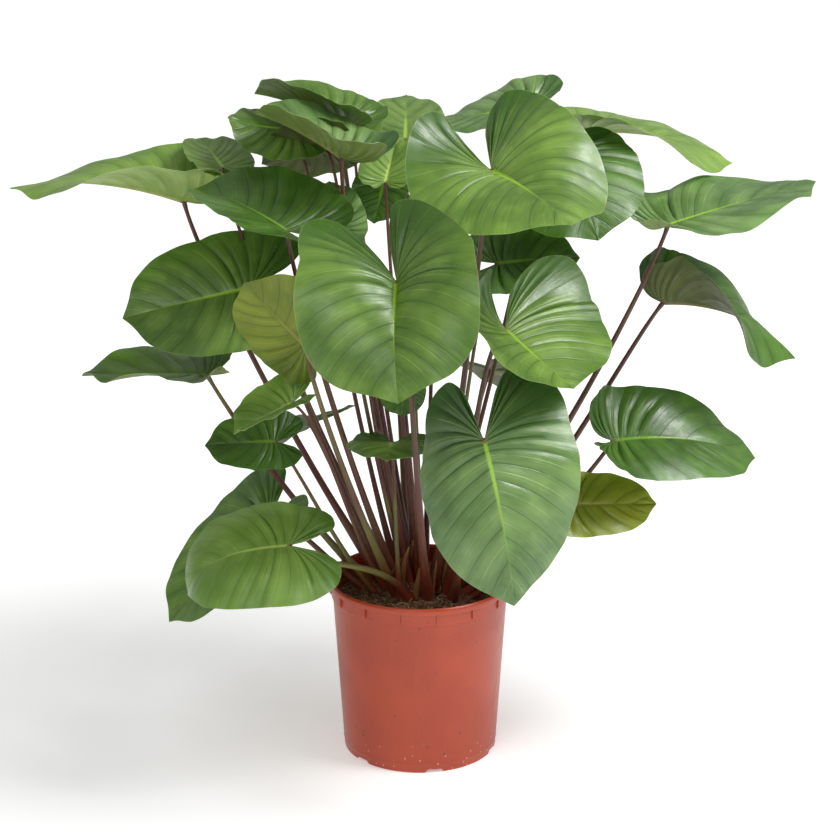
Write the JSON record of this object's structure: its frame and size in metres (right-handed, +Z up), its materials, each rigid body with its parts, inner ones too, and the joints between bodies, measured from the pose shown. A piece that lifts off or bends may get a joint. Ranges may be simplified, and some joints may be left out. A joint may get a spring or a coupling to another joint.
{
  "type": "potted maggy homalomena",
  "caption": "Leafy aroid house plant with broad glossy heart-shaped blades on long stalks, growing in a round terracotta-coloured nursery pot.",
  "frame": {"origin": "centre of the pot's flat underside, on the surface that the pot stands on", "axes": "+Z up along the pot's axis, +X to the right and +Y to the back as seen from the pictured side"},
  "size_m": [1.0288, 0.6938, 0.8897],
  "materials": {
    "pot": "satin moulded plastic, terracotta colour",
    "soil": "crumbly dark peat with bark and fibres",
    "crown": "rough, reddish brown old stalk sheaths",
    "stalk": "smooth, semi-gloss, maroon brown to olive",
    "leaf": "glossy green with sunken side veins"
  },
  "bodies": {
    "root": {"pot": "pot", "soil": "soil", "crown": "crown", "blade_front_broad": "leaf", "stalk_front_broad": "stalk", "blade_top_broad": "leaf", "stalk_top_broad": "stalk", "blade_right_broad": "leaf", "stalk_right_broad": "stalk", "blade_low_broad": "leaf", "stalk_low_broad": "stalk", "blade_under_small": "leaf", "stalk_under_small": "stalk", "blade_low_left_back": "leaf", "stalk_low_left_back": "stalk", "blade_low_left_front": "leaf", "stalk_low_left_front": "stalk", "blade_left_mid": "leaf", "stalk_left_mid": "stalk", "blade_left_dark": "leaf", "stalk_left_dark": "stalk", "blade_left_pale": "leaf", "stalk_left_pale": "stalk", "blade_left_big": "leaf", "stalk_left_big": "stalk", "blade_left_under": "leaf", "stalk_left_under": "stalk", "blade_left_cup": "leaf", "stalk_left_cup": "stalk", "blade_far_left": "leaf", "stalk_far_left": "stalk", "blade_upper_left_fold": "leaf", "stalk_upper_left_fold": "stalk", "blade_top_left_curl": "leaf", "stalk_top_left_curl": "stalk", "blade_top_centre": "leaf", "stalk_top_centre": "stalk", "blade_top_back": "leaf", "stalk_top_back": "stalk", "blade_top_ridge": "leaf", "stalk_top_ridge": "stalk", "blade_top_right_flat": "leaf", "stalk_top_right_flat": "stalk", "blade_right_shade": "leaf", "stalk_right_shade": "stalk", "blade_far_right": "leaf", "stalk_far_right": "stalk", "blade_right_curl": "leaf", "stalk_right_curl": "stalk", "blade_right_low": "leaf", "stalk_right_low": "stalk", "blade_right_yellow": "leaf", "stalk_right_yellow": "stalk", "blade_back_right": "leaf", "stalk_back_right": "stalk", "blade_rear_left": "leaf", "stalk_rear_left": "stalk", "blade_rear_right": "leaf", "stalk_rear_right": "stalk"}
  },
  "joints": []
}
